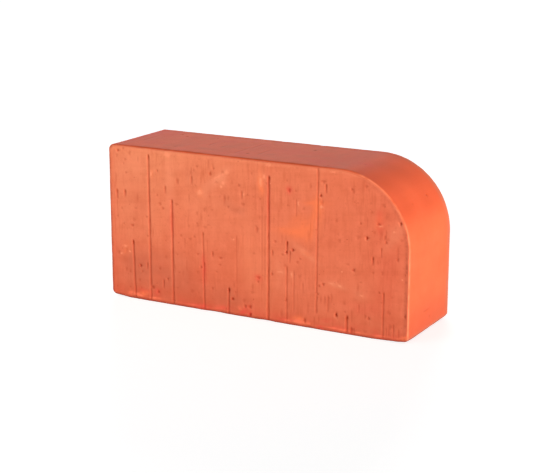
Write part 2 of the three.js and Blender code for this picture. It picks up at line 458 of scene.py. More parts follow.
wireCut = {
    "recess": 0.28,  # the wire leaves the face this far inside the brick's full thickness
    "waves": (0.12, 55),  # size and length
    "lumps": (0.035, 7),
    "chatter": (0.022, 3.4),  # ridges left where the wire stuttered, nearly level
    "chatterSlope": 0.14,
    "lip": (0.20, 0.9, 1.5),  # rise, inset and width of the edge that the wire drags up
    "furrow": (0.08, 3.6, 1.4),  # the same of the hollow behind it
    "footLip": (0.10, 2.4, 0.60),  # rise, height and width of a ragged lip above the foot
    "footLipWander": (1.0, 7),
    "footLipTone": 0.22,
    "smearRise": 0.04,
    "burrRise": 0.07,
    "tearRise": 0.15,
    "pointGap": 1.35,
    "backPointGap": 1.65,
    "closestPoints": 0.30,
    "scoreStep": 0.9,
    "footStep": 0.6,
    "footRows": 7,
    "netSeed": 3,
}

# the shape of every score and pit, as shares of its own width and depth, with lengths in mm
scoreShape = {
    "cut": 0.5,
    "wander": (0.16, 6),
    "ragged": (0.25, 1.9),
    "uneven": (0.25, 5.5),
    "head": (1.2, 1.8),  # how far below its top the torn head has its middle, and the head's reach
    "headWider": 0.10,
    "fading": 0.15,
    "ridge": (0.04, 1.45, 0.40),  # rise, place and width of the clay pushed up on both sides
    "ridgeTone": 0.15,
    "strongFrom": 0.3,  # deeper ones start and end sharply
}
pitShape = {
    "wider": 1.15,
    "cut": 0.7,
    "lobes": (0.16, 0.12),
    "rim": (0.08, 1.35, 0.35),
    "rimTone": 0.25,
}


def noiseAt(x, y, z, size, length, pattern):
    # smooth noise of a size either way, with features about one length across; pattern picks another noise
    spots = np.broadcast(x / length + pattern, y / length - pattern, z / length + pattern * 0.37)
    return size * np.array([noise.noise(Vector(spot)) for spot in spots])


def smoothStep(value, low, high):
    t = np.clip((value - low) / (high - low), 0, 1)
    return t * t * (3 - 2 * t)


def bell(value, middle, width):
    # 1 at the middle, falling away on both sides
    return np.exp(-((value - middle) / width) ** 2)


def deepen(masks, name, here, values):
    # a mask keeps whatever is stronger: what it has there, or the new values
    masks[name][here] = np.maximum(masks[name][here], values)


def overSpot(x, z, spot, reach):
    # the points that a tilted oval spot reaches, and where they lie: along, across and how far out
    spotX, spotZ, halfLong, halfWide, tilt = spot
    dx, dz, turn = x - spotX, z - spotZ, math.radians(tilt)
    along = dx * math.cos(turn) + dz * math.sin(turn)
    across = dz * math.cos(turn) - dx * math.sin(turn)
    away = np.hypot(along / halfLong, across / halfWide)
    near = np.flatnonzero(away < reach)
    return near, along[near], across[near], away[near]


def edgeDistance(x, z):
    # how far inside the section's outline each point lies
    left, right, down, up = x - leftEnd, rightEnd - x, z, brickHeight - z
    near = np.minimum(np.minimum(left, right), np.minimum(down, up))
    for sideA, sideB, radius in ((right, up, noseRadius), (left, up, dieCornerRadius),
                                 (left, down, dieCornerRadius), (right, down, dieCornerRadius)):
        inCorner = (sideA < radius) & (sideB < radius)
        near = np.where(inCorner, radius - np.hypot(radius - sideA, radius - sideB), near)
    return near


def carveScore(masks, x, z, score):
    topX, footX, top, foot, width, depth, head = score
    near = np.flatnonzero((np.abs(x - (topX + footX) / 2) < abs(topX - footX) + 4 * width)
                          & (z < top + 3 * width) & (z > foot - 3 * width))
    x, z = x[near], z[near]
    shape = scoreShape
    along = np.clip((top - z) / max(top - foot, 0.1), 0, 1)
    wander = width * noiseAt(0, topX, z, *shape["wander"], topX)
    ragged = 1 + noiseAt(0, topX, z, *shape["ragged"], 2 * topX)
    tornHead = bell(top - z, *shape["head"]) * (head - 0.8)
    halfWidth = width * (1 + shape["headWider"] * tornHead) * ragged
    across = np.abs(x - topX - (footX - topX) * along - wander) / halfWidth
    fade = width if depth > shape["strongFrom"] else 2.5 * width
    ends = smoothStep(top - z, -0.7 * fade, 0.6 * fade) * smoothStep(z - foot, -0.6 * fade, 0.8 * fade)
    uneven = 0.85 + noiseAt(0, topX, z, *shape["uneven"], 5 * topX)
    strength = uneven * (1 - shape["fading"] * along) + tornHead
    groove = np.clip(1 - across ** 2, 0, 1) ** 1.3 * ends
    ridgeRise, place, ridgeWidth = shape["ridge"]
    ridge = bell(across, place, ridgeWidth) * ends
    masks["relief"][near] += shape["cut"] * depth * strength * groove - ridgeRise * depth * ridge
    # painted shade darkens the score's hollow
    deepen(masks, "hollowShade", near, groove ** 0.6 * np.clip(strength * (0.16 + 0.52 * depth), 0, 1))
    deepen(masks, "pale", near, ridge * shape["ridgeTone"] * depth)


def carvePit(masks, x, z, pit):
    pitX, pitZ, radius, depth, tall = pit
    radius *= pitShape["wider"]
    reach = 2.5 * radius * max(1, tall)
    near = np.flatnonzero((np.abs(x - pitX) < reach) & (np.abs(z - pitZ) < reach))
    dx, dz = (x[near] - pitX) * math.sqrt(tall), (z[near] - pitZ) / math.sqrt(tall)
    angle = np.arctan2(dz, dx)
    threes, fives = pitShape["lobes"]
    lobes = 1 + threes * np.sin(3 * angle + pitX) + fives * np.sin(5 * angle + 2 * pitZ)
    away = np.hypot(dx, dz) / (radius * lobes)
    bowl = np.clip(1 - away ** 2, 0, 1) ** 1.2
    rimRise, place, width = pitShape["rim"]
    rim = bell(away, place, width)
    masks["relief"][near] += pitShape["cut"] * depth * (bowl - rimRise * rim)
    # painted shade darkens the pit's bowl
    deepen(masks, "hollowShade", near, bowl ** 0.8 * min(1, 0.12 + 0.88 * depth))
    deepen(masks, "pale", near, rim * pitShape["rimTone"] * depth * (dz < 0.2))


def burrOver(x, z, burr):
    # 1 on a small tilted burr with a ragged edge, 0 away from it
    near, _, _, away = overSpot(x, z, burr, 1.7)
    share = np.zeros_like(x)
    ragged = noiseAt(x[near] * 1.3, 0, z[near] * 0.8, 0.45, 1.4, burr[0])
    share[near] = smoothStep(1.25 - away + ragged, 0, 1.1)
    return share


def washOver(x, z, wash):
    # a soft tilted patch, streaky along its length
    washX, washZ, halfLong, halfWide, _, strength = wash
    near, along, across, away = overSpot(x, z, wash[:5], 2.1)
    share = np.zeros_like(x)
    streaks = noiseAt(along * 0.3, 0, across, 0.55, 0.35 * halfWide + 0.8, washX)
    broken = noiseAt(along, 0, across, 0.45, 0.6 * halfLong, washZ)
    patch = strength * np.exp(-0.9 * away ** 2)
    share[near] = (patch * np.clip(0.95 + streaks + broken, 0, 1.5)).clip(0, 1)
    return share


def cutFaceRelief(x, z, marks, side):
    # how far inside the brick's full thickness each point of a cut face lies, and the masks of its tones
    y = 40 * side
    edge = edgeDistance(x, z)
    relief = wireCut["recess"] + noiseAt(x, y, z * 0.6, *wireCut["waves"], 3.1 * side)
    relief += noiseAt(x, y, z * 0.7, *wireCut["lumps"], 7.7)
    relief += noiseAt(x * 0.06, y, z + wireCut["chatterSlope"] * x * side, *wireCut["chatter"], 5.5)
    rise, inset, width = wireCut["lip"]
    curl = bell(edge, inset, width) * (0.7 + noiseAt(x, y, z, 0.5, 9, 1.3))
    depth, furrowInset, furrowWidth = wireCut["furrow"]
    relief += depth * bell(edge, furrowInset, furrowWidth) - rise * curl
    masks = {name: np.zeros_like(x) for name in maskNames}
    masks["relief"] = relief
    for score in marks["scores"]:
        carveScore(masks, x, z, score)
    for pit in marks["pits"]:
        carvePit(masks, x, z, pit)
    for tone, washes in marks["washes"].items():
        for wash in washes:
            masks[tone] = 1 - (1 - masks[tone]) * (1 - washOver(x, z, wash))
    for burr in marks["burrs"]:
        deepen(masks, "pale", everywhere, burrOver(x, z, burr))
    smeared = masks["smear"] * (1 - masks["hollowShade"])
    relief -= wireCut["smearRise"] * smeared + wireCut["burrRise"] * masks["pale"]

    # the ragged lip above the foot, torn here and there
    rise, height, width = wireCut["footLip"]
    height += noiseAt(x, y, 0, *wireCut["footLipWander"], 2.9)
    ragged = smoothStep(noiseAt(x, y, 0, 1, 9, 4.1) + noiseAt(x, y, 0, 0.4, 2.3, 8.3), -0.10, 0.35)
    lip = bell(z, height, width) * ragged
    relief -= rise * lip + wireCut["tearRise"] * masks["torn"]
    deepen(masks, "torn", everywhere, lip * wireCut["footLipTone"])
    rimTones(masks, x, z, edge, 0.75 + noiseAt(x, y, z, 0.45, 5, 6.6))
    masks["relief"] = np.maximum(relief, leastRelief)
    return masks


# tones round the rim of a cut face, the pale lips partly a painted highlight and the dark lines painted
# shade: strength, how far in from the edge, and width
cutRim = {
    "topLip": (0.55, 2.3, 0.9),
    "noseLip": (0.60, 1.0, 0.5),
    "endLine": (1.0, 1.3, 1.0),
    "leftLine": (0.95, 1.3, 1.0),
    "behindTop": (0.45, 0.6, 0.8),
    # height, reach and share of the stretches that are worn off the nose's lip
    "noseLipWear": ((81, 9, 0.80), (99, 4.5, 0.50)),
}


def noseLipLeft(z):
    # how much of the pale lip round the nose is left at each height
    left = np.ones_like(z)
    for height, reach, share in cutRim["noseLipWear"]:
        left *= 1 - share * bell(z, height, reach)
    return left


def rimTones(masks, x, z, edge, uneven):
    # a pale lip along the top and the nose, partly a painted highlight; a dark line of painted shade beside
    # the plain end and the left edge, and painted shade along the foot
    def tone(name):
        strength, inset, width = cutRim[name]
        return strength * bell(edge, inset, width) * uneven

    nearTop = smoothStep(z, brickHeight - 6, brickHeight - 3)
    outer = rightEnd + brickHeight - noseRadius
    nearNose = smoothStep(x + z, outer - 1.2 * noseRadius, outer)
    nearEnd = smoothStep(x, rightEnd - 5, rightEnd - 3) * smoothStep(z, 90, 70) * smoothStep(z, 4, 14)
    nearLeft = smoothStep(-x, -leftEnd - 5, -leftEnd - 3)
    underside = smoothStep(z, 3, 1.5) * uneven
    deepen(masks, "pale", everywhere, tone("topLip") * nearTop)
    deepen(masks, "pale", everywhere, tone("noseLip") * nearNose * noseLipLeft(z))
    lines = tone("endLine") * nearEnd + tone("leftLine") * nearLeft
    masks["rim"] = np.maximum(lines, np.maximum(underside, tone("behindTop") * nearTop * (1 - nearNose)))
    masks["torn"] *= 1 - underside


# how the arris between a wire-cut face and the die's skin is rounded and worn
arris = {
    "radius": 0.95,
    "footRadius": 1.15,
    "topRadius": 1.7,
    "wear": 0.30,
    "wearNoise": ((0.6, 14, 2.2), (0.4, 4, 4.4)),  # size, length and pattern
    "rings": 7,
    "cutRings": 3,  # of the cut face's clay; the rest are of the skin's
    "cutFrom": (0.35, 0.98),  # how far the arris turns where the cut face's relief starts and is full
    "grit": 0.10,
    "gritNoise": ((1, 1.6, 8), (0.7, 3.7, 2)),
    "room": 1.75,  # from the outline to the first points of a cut face, with more at the top and the foot
    "topRoom": 0.9,
    "footRoom": 0.2,
}

dieSkin = {
    "recess": 0.14,
    "waves": (0.08, 60),
    "dragLines": (0.030, 2.6),  # lines the die leaves along the column
    "ripples": (0.02, 6),
    "loopGap": 1.0,
    "footLoopGap": 0.6,
    "pointGap": 2.3,
    "closestPoints": 0.40,
    "besideArris": (0.8, 1.9),  # rows of points along both arrises
    "besideGap": 1.5,
    "cornerGap": 0.8,
    "cornerRows": 36,
    "seamRows": 24,
    "netSeed": 6,
    "seed": 5,
    "dents": {"count": 30, "radius": (0.7, 2.0), "depth": (0.08, 0.38), "stretch": (0.45, 1.0)},
    "drags": {"count": 9, "width": (0.5, 0.9), "depth": (0.06, 0.16)},
}

# where the arris and its corners are knocked off: x, side (-1 front, 1 back), z, reach and depth
wornSpots = [
    (117, -1, 0, 6.5, 1.0), (-119.5, 1, 0, 6, 1.2), (119, 1, 0, 5, 1.0), (66, 1, 0, 5, 0.8),
    (-119.5, 1, 114, 4, 0.8), (-119.5, -1, 113.5, 3, 0.5), (20, 1, 115, 4.5, 0.7),
]

# where the foot is worn away upwards: x, side, how far, and the reach along, up and inwards
wornFoot = [
    (-122, -1, 1.10, 18, 9, 14), (120, -1, 0.70, 28, 9, 12), (12, -1, 0.35, 7, 5, 5),
    (-30, -1, 0.30, 9, 5, 5), (-60, 1, 0.50, 8, 5, 6),
]


def sectionLoop():
    # the section as it leaves the die, anticlockwise from the front: rows of x, z and the outward normal
    def straight(start, end, gap):
        start, end = np.array(start, float), np.array(end, float)
        length = np.linalg.norm(end - start)
        count = max(2, round(length / gap))
        along = (end - start) / length
        steps = np.arange(count)[:, None] / count
        return np.hstack([start + (end - start) * steps, np.tile([along[1], -along[0]], (count, 1))])

    def corner(centre, radius, quarter, gap):
        count = max(7, round(radius * math.pi / 2 / gap))
        angle = (quarter + np.arange(count) / count) * math.pi / 2
        normal = np.stack([np.cos(angle), np.sin(angle)], 1)
        return np.hstack([np.array(centre) + radius * normal, normal])

    small, gap, footGap = dieCornerRadius, dieSkin["loopGap"], dieSkin["footLoopGap"]
    return np.vstack([
        straight((leftEnd + small, 0), (rightEnd - small, 0), footGap),
        corner((rightEnd - small, small), small, 3, footGap),
        straight((rightEnd, small), (rightEnd, brickHeight - noseRadius), gap),
        corner((rightEnd - noseRadius, brickHeight - noseRadius), noseRadius, 0, gap),
        straight((rightEnd - noseRadius, brickHeight), (leftEnd + small, brickHeight), gap),
        corner((leftEnd + small, brickHeight - small), small, 1, footGap),
        straight((leftEnd, brickHeight - small), (leftEnd, small), gap),
        corner((leftEnd + small, small), small, 2, footGap),
    ])


def arrisRadius(loop, side):
    # the rounding of the arris at each point of the loop, wider on top and where it is worn
    x, z, _, upward = loop.T
    radius = arris["radius"] + (arris["topRadius"] - arris["radius"]) * upward.clip(0, 1) ** 2
    radius += (arris["footRadius"] - arris["radius"]) * (-upward).clip(0, 1) ** 2
    wear = sum(noiseAt(x, side * 30, z, *given) for given in arris["wearNoise"])
    return radius * (1 + arris["wear"] * wear)


def alongLoop(loop):
    # the distance along the section's outline at each of its points and once more at its end
    closed = np.vstack([loop[:, :2], loop[:1, :2]])
    return np.append(0, np.cumsum(np.linalg.norm(np.diff(closed, axis=0), axis=1)))


def placeAlong(loop, steps, distance):
    # the section's point and outward normal at each distance along its outline
    closed = np.vstack([loop, loop[:1]])
    place = np.stack([np.interp(distance, steps, column) for column in closed.T], 1)
    place[:, 2:] /= np.linalg.norm(place[:, 2:], axis=1)[:, None]
    return place


def skinMarks(length):
    # dents as distance, y, radius, depth and stretch; drag marks as distance, y, length, width and depth
    draw = random.Random(dieSkin["seed"])
    inside = halfThick - 5
    dents = [(draw.uniform(8, length - 8), draw.uniform(-inside, inside),
              *picks(draw, dieSkin["dents"], "radius", "depth", "stretch"))
             for _ in range(dieSkin["dents"]["count"])]
    drags = [(draw.uniform(8, length - 8), draw.uniform(-inside, 0), draw.uniform(8, inside),
              *picks(draw, dieSkin["drags"], "width", "depth"))
             for _ in range(dieSkin["drags"]["count"])]
    return dents, drags


def skinRelief(along, x, y, z, dents, drags):
    # the die's skin: long waves, lines along the column, a few dents and drag marks, with painted shade in
    # the dents and drag marks
    relief = dieSkin["recess"] + noiseAt(x, y * 0.5, z, *dieSkin["waves"], 9)
    relief += noiseAt(x, y * 0.04, z, *dieSkin["dragLines"], 6)
    relief += noiseAt(x, y * 0.3, z, *dieSkin["ripples"], 1)
    hollowShade = np.zeros_like(x)
    for place, middle, radius, depth, stretch in dents:
        away = np.hypot(along - place, (y - middle) * stretch) / radius
        bowl = np.clip(1 - away ** 2, 0, 1) ** 1.5
        relief += depth * bowl
        hollowShade = np.maximum(hollowShade, bowl * depth * 1.6)
    for place, start, length, width, depth in drags:
        across = np.abs(along - place) / width
        ends = smoothStep(y - start, -0.5, 0.5) * smoothStep(start + length - y, -0.5, length * 0.6)
        groove = np.clip(1 - across ** 2, 0, 1) * ends
        relief += depth * groove
        hollowShade = np.maximum(hollowShade, groove * depth * 2.2)
    return np.maximum(relief, leastRelief), hollowShade


def thinOut(points, closeCount, cell):
    # one point in each small cell, and the points of the wide net keep away from the close ones
    taken, kept = set(), []
    for index, (a, b) in enumerate(points):
        key = (int(a // cell), int(b // cell))
        around = ((key[0] + i, key[1] + j) for i in range(-2, 3) for j in range(-2, 3))
        if key in taken or (index >= closeCount and any(near in taken for near in around)):
            continue
        taken.add(key)
        kept.append(index)
    return points[kept]


def wideNet(lowA, highA, lowB, highB, gap, seed):
    # a loose triangular net of points
    rowGap = gap * math.sqrt(3) / 2
    rows = []
    for row in range(int((highB - lowB) / rowGap) + 1):
        a = np.arange(lowA + 0.5 * gap * (row % 2), highA, gap)
        rows.append(np.stack([a, np.full_like(a, lowB + row * rowGap)], 1))
    net = np.vstack(rows)
    return net + np.random.default_rng(seed).uniform(-0.18, 0.18, net.shape) * gap


def bowlPoints(middleA, middleB, radius, stretch):
    # rings of points round the middle of a pit, a burr or a dent
    close = [(middleA, middleB)]
    for ring, count in ((0.45, 6), (0.85, 9), (1.3, 11)):
        for step in range(count):
            angle = 2 * math.pi * (step + ring) / count
            close.append((middleA + ring * radius * math.cos(angle) / math.sqrt(stretch),
                          middleB + ring * radius * math.sin(angle) * math.sqrt(stretch)))
    return close


def scorePoints(score):
    # rows of points across a score, all the way down it
    topX, footX, top, foot, width, depth, _ = score
    offsets = (-1.1, -0.5, 0, 0.5, 1.1)
    if depth > scoreShape["strongFrom"]:
        offsets = (-1.7, -1.1, -0.7, -0.35, 0, 0.35, 0.7, 1.1, 1.7)
    span = top - foot + 1.6 * width
    count = max(3, round(span / wireCut["scoreStep"]))
    close = []
    for step in range(count + 1):
        z = top + 0.8 * width - span * step / count
        middle = topX + (footX - topX) * min(1, max(0, (top - z) / max(top - foot, 0.1)))
        shift = 0.25 * (step % 2)
        close += [(middle + (offset + shift * 0.2) * width, z + shift * abs(offset)) for offset in offsets]
    return close


def facePoints(marks, gap):
    # where the mesh of a cut face has its points: closely along the marks and the foot, widely between them
    close = []
    for score in marks["scores"]:
        close += scorePoints(score)
    for pitX, pitZ, radius, _, tall in marks["pits"]:
        close += bowlPoints(pitX, pitZ, radius, tall)
    for burrX, burrZ, _, halfWide, _ in marks["burrs"]:
        close += bowlPoints(burrX, burrZ, halfWide, 1)
    footStep = wireCut["footStep"]
    for row in range(wireCut["footRows"]):
        z = 1.4 + footStep * row * 0.9
        close += [(leftEnd + (step + 0.5 * (row % 2)) * footStep, z)
                  for step in range(round(brickLength / footStep))]
    wide = wideNet(leftEnd, rightEnd, 0, brickHeight, gap, wireCut["netSeed"])
    points = thinOut(np.vstack([close, wide]), len(close), wireCut["closestPoints"])
    # they keep clear of the arris
    room = (arris["room"] + arris["topRoom"] * smoothStep(points[:, 1], brickHeight - 8, brickHeight - 3)
            + arris["footRoom"] * smoothStep(points[:, 1], 6, 3))
    return points[edgeDistance(*points.T) > room]


def skinPoints(length, reach, dents, drags):
    # the same for the die's skin, laid flat: distance along the section's outline, and y
    close = []
    for place, middle, radius, _, stretch in dents:
        close += bowlPoints(place, middle, radius, 1 / stretch)
    for place, start, long, width, _ in drags:
        steps = max(4, round(long / 1.2))
        close += [(place + offset * width, start - 0.5 + (long + 1) * step / steps)
                  for step in range(steps + 1) for offset in (-1.3, -0.5, 0.5, 1.3)]
    count = round(length / dieSkin["besideGap"])
    for inset in dieSkin["besideArris"]:
        for side in (-1, 1):
            close += [(length * (step + 0.5) / count, side * (reach - inset)) for step in range(count)]
    # the two corners beside the foot
    bend = dieCornerRadius * math.pi / 2
    gap, rows = dieSkin["cornerGap"], dieSkin["cornerRows"]
    for start in (brickLength - 2 * dieCornerRadius, length - bend - 2):
        close += [(start + gap * step, -reach + (2 * reach) * (row + 0.5 * (step % 2)) / rows)
                  for step in range(round((bend + 2) / gap)) for row in range(rows)]
    wide = wideNet(0, length, -reach, reach, dieSkin["pointGap"], dieSkin["netSeed"])
    points = thinOut(np.vstack([close, wide]), len(close), dieSkin["closestPoints"])
    along, y = points.T
    return points[(np.abs(y) < reach) & (along > 0.8) & (along < length - 0.8)]


def fillFlat(border, borderIndex, inner, firstIndex, flip):
    # triangles over a flat region: its border points in order, the inner points, and the mesh index of each
    flat = [Vector(p) for p in np.vstack([border, inner])]
    count = len(border)
    edges = [(step, (step + 1) % count) for step in range(count)]
    made, _, triangles, origins, _, _ = delaunay_2d_cdt(flat, edges, [], 1, 1e-6)
    assert len(made) == len(flat), "the points of the net stay as they are"
    index = [borderIndex[min(o)] if min(o) < count else firstIndex + min(o) - count for o in origins]
    faces = []
    for a, b, c in triangles:
        turned = (made[b] - made[a]).cross(made[c] - made[a]) < 0
        corners = (index[a], index[b], index[c])
        faces.append(corners[::-1] if turned != flip else corners)
    return faces


def surfacePart(base, normal, cut=0, bend=0, along=0, skinEdge=0):
    # points on the solid, how far each belongs to the cut face and to the arris's bend, its distance along
    # the section's outline, and how near it is to the edge of the skin
    values = {"cut": cut, "bend": bend, "along": along, "skinEdge": skinEdge}
    spread = {name: np.broadcast_to(float(value) if np.isscalar(value) else value, len(base))
              for name, value in values.items()}
    return {"base": base, "normal": normal, **spread}


def arrisRings(loop, steps, side):
    # rings over an arris, from the cut face's rim to the die's skin
    radius = arrisRadius(loop, side)
    x, z, normalX, normalZ = loop.T
    rings = []
    for step in range(arris["rings"] + 1):
        angle = (1 - step / arris["rings"]) * math.pi / 2
        inset = radius * (1 - math.cos(angle))
        y = side * (halfThick - radius * (1 - math.sin(angle)))
        normalY = np.full(len(loop), side * math.sin(angle))
        base = np.stack([x - normalX * inset, y, z - normalZ * inset], 1)
        normal = np.stack([normalX * math.cos(angle), normalY, normalZ * math.cos(angle)], 1)
        rings.append(surfacePart(base, normal, smoothStep(math.sin(angle), *arris["cutFrom"]),
                                 math.sin(2 * angle), steps[:-1], math.cos(angle)))
    return rings


def ringQuads(inner, count, side):
    # the quads between a ring, whose first point is given, and the next one
    quads = []
    for point in range(count):
        a, b = inner + point, inner + (point + 1) % count
        quad = (a, b, b + count, a + count)
        quads.append(quad[::-1] if side == -1 else quad)
    return quads


def dieSkinPart(loop, steps, rings, ringStart, start):
    # the die's skin, laid flat between the last rings of the two arrises, with its seam along the foot
    count, length = len(loop), steps[-1]
    dents, drags = skinMarks(length)
    frontY, backY = (np.append(ring["base"][:, 1], ring["base"][0, 1]) for ring in rings)
    frontRing, backRing = ([*range(first, first + count), first] for first in ringStart)
    rows = dieSkin["seamRows"]
    seamY = frontY[0] + (backY[0] - frontY[0]) * np.arange(1, rows) / rows
    seam = list(range(start, start + rows - 1))
    border = np.vstack([
        np.stack([steps, frontY], 1),
        np.stack([np.full(rows - 1, length), seamY], 1),
        np.stack([steps, backY], 1)[::-1],
        np.stack([np.zeros(rows - 1), seamY], 1)[::-1],
    ])
    reach = halfThick - arris["topRadius"] * (1 + 0.6 * arris["wear"])
    inner = skinPoints(length, reach, dents, drags)
    borderIndex = frontRing + seam + backRing[::-1] + seam[::-1]
    faces = fillFlat(border, borderIndex, inner, start + rows - 1, True)
    along = np.concatenate([np.zeros(rows - 1), inner[:, 0]])
    y = np.concatenate([seamY, inner[:, 1]])
    x, z, normalX, normalZ = placeAlong(loop, steps, along).T
    beside = np.minimum(y - np.interp(along, steps, frontY), np.interp(along, steps, backY) - y)
    part = surfacePart(np.stack([x, y, z], 1), np.stack([normalX, np.zeros(len(x)), normalZ], 1),
                       along=along, skinEdge=bell(beside, 0, 1.7))
    return part, faces, dents, drags


def buildBrick():
    loop = sectionLoop()
    steps = alongLoop(loop)
    count, ringCount = len(loop), arris["rings"] + 1
    parts, faces, materialOf = [], [], []
    ringStart = {-1: 0, 1: ringCount * count}
    for side in (-1, 1):
        parts += arrisRings(loop, steps, side)
        for step in range(arris["rings"]):
            faces += ringQuads(ringStart[side] + step * count, count, side)
            materialOf += [0 if step < arris["cutRings"] else 1] * count
    rims = {-1: parts[0], 1: parts[ringCount]}
    lastRings = (parts[ringCount - 1], parts[2 * ringCount - 1])

    # the two wire-cut faces
    start = 2 * ringCount * count
    for side, gap in ((-1, wireCut["pointGap"]), (1, wireCut["backPointGap"])):
        inner = facePoints(marksOf[side], gap)
        rimIndex = range(ringStart[side], ringStart[side] + count)
        made = fillFlat(rims[side]["base"][:, [0, 2]], rimIndex, inner, start, side == 1)
        faces += made
        materialOf += [0] * len(made)
        base = np.stack([inner[:, 0], np.full(len(inner), side * halfThick), inner[:, 1]], 1)
        parts.append(surfacePart(base, np.tile([0, side, 0], (len(inner), 1)), cut=1))
        start += len(inner)

    lastStarts = [ringStart[side] + arris["rings"] * count for side in (-1, 1)]
    skin, made, dents, drags = dieSkinPart(loop, steps, lastRings, lastStarts, start)
    parts.append(skin)
    faces += made
    materialOf += [1] * len(made)
    surface = {name: np.concatenate([part[name] for part in parts]) for name in skin}
    relief, masks = carveSurface(surface, dents, drags)
    points = surface["base"] - surface["normal"] * relief[:, None]
    wearFoot(points)

    mesh = bpy.data.meshes.new("bullnoseBrick")
    mesh.from_pydata((points * mm).tolist(), [], faces)
    for name, values in masks.items():
        attribute = mesh.attributes.new(name, "FLOAT", "POINT")
        attribute.data.foreach_set("value", np.clip(values, 0, 1).astype(np.float32))
    mesh.polygons.foreach_set("material_index", np.array(materialOf, np.int32))
    mesh.polygons.foreach_set("use_smooth", np.ones(len(faces), bool))
    mesh.update()
    print("brick mesh:", len(points), "points,", sum(len(f) - 2 for f in faces), "triangles")
    return mesh


def carveSurface(surface, dents, drags):
    # how far inside the solid every point lies, and the masks for the clay's tones
    cut = surface["cut"]
    x, y, z = surface["base"].T
    relief = np.zeros(len(x))
    masks = {name: np.zeros(len(x)) for name in maskNames}
    for side, marks in marksOf.items():
        here = np.flatnonzero((cut > 0) & (y * side > 0))
        made = cutFaceRelief(x[here], z[here], marks, side)
        relief[here] += made["relief"] * cut[here]
        for name in masks:
            masks[name][here] = made[name] * np.clip(cut[here] * (1.6 if name == "torn" else 1), 0, 1)
    here = np.flatnonzero(cut < 1)
    skin, hollow = skinRelief(surface["along"][here], x[here], y[here], z[here], dents, drags)
    relief[here] += skin * (1 - cut[here])
    # painted shade in the skin's dents and drag marks
    deepen(masks, "hollowShade", here, hollow)
    skinTones(masks, here, {name: values[here] for name, values in surface.items()})
    crumbleArris(relief, surface)
    return relief, masks


def crumbleArris(relief, surface):
    # the sandy wear along the arris, coarser at the foot, and what is knocked off
    here = np.flatnonzero(surface["bend"] > 0.01)
    x, y, z = surface["base"][here].T
    grit = sum(noiseAt(x, y, z, *given) for given in arris["gritNoise"])
    footward = np.clip(-surface["normal"][here, 2] * 1.6, 0, 1) + smoothStep(z, 3, 0.5) * 0.6
    relief[here] += arris["grit"] * (1 + 1.3 * footward) * (0.8 + grit).clip(0, 2) * surface["bend"][here]
    x, y, z = surface["base"].T
    for spotX, side, spotZ, reach, depth in wornSpots:
        away = np.sqrt(((x - spotX) / reach) ** 2 + ((y - side * halfThick) / (0.5 * reach)) ** 2
                       + ((z - spotZ) / (0.6 * reach)) ** 2)
        near = np.flatnonzero(away < 1)
        rough = 1 + noiseAt(x[near], y[near], z[near], 0.45, 2.2, 3)
        relief[near] += depth * (1 - away[near]) ** 1.2 * rough


def wearFoot(points):
    for spotX, side, lift, reachX, reachZ, reachY in wornFoot:
        towards = np.clip(1.6 * (1 - np.abs(points[:, 0] - spotX) / reachX), 0, 1)
        inwards = smoothStep(1 - np.abs(points[:, 1] - side * halfThick) / reachY, 0, 1)
        points[:, 2] += lift * towards * inwards * np.clip(1 - points[:, 2] / reachZ, 0, 1) ** 1.5


# the tones laid on the skin and over the arris, how strong each is: painted shade along the arrises and low
# down, pale lips that are partly a painted highlight, and the clay's patches
skinShades = {
    "topLine": 0.45,  # dark lines of painted shade along the arris
    "footLine": 0.90,
    "leftLine": 0.50,
    "noseLine": 0.20,
    "backLine": 0.50,
    "endLip": 1.1,  # pale lips beside them, down the end and round the nose, partly a painted highlight of the arris
    "noseLip": (0.75, 0.15),  # on the bend, and on the skin beside it
    "backLip": 0.50,
    "endSmear": 0.30,
    "ruddyLeft": 0.50,
    "ruddyPatches": (0.12, 0.28),  # anywhere, and how much more on the top
    "dullPatches": (0.05, 0.20),
    "backShadeStrip": 0.95,  # a duller strip of painted shade beside the back arris
    # painted shade low on the end and along the foot
    "endLowShade": 0.22,
    "skinFootShade": 0.90,
    "topDeeper": 0.45,  # deeper towards the nose and along the back, and painted shade at the end's foot
    "endShade": 0.68,
    "backDeeper": 0.28,
}


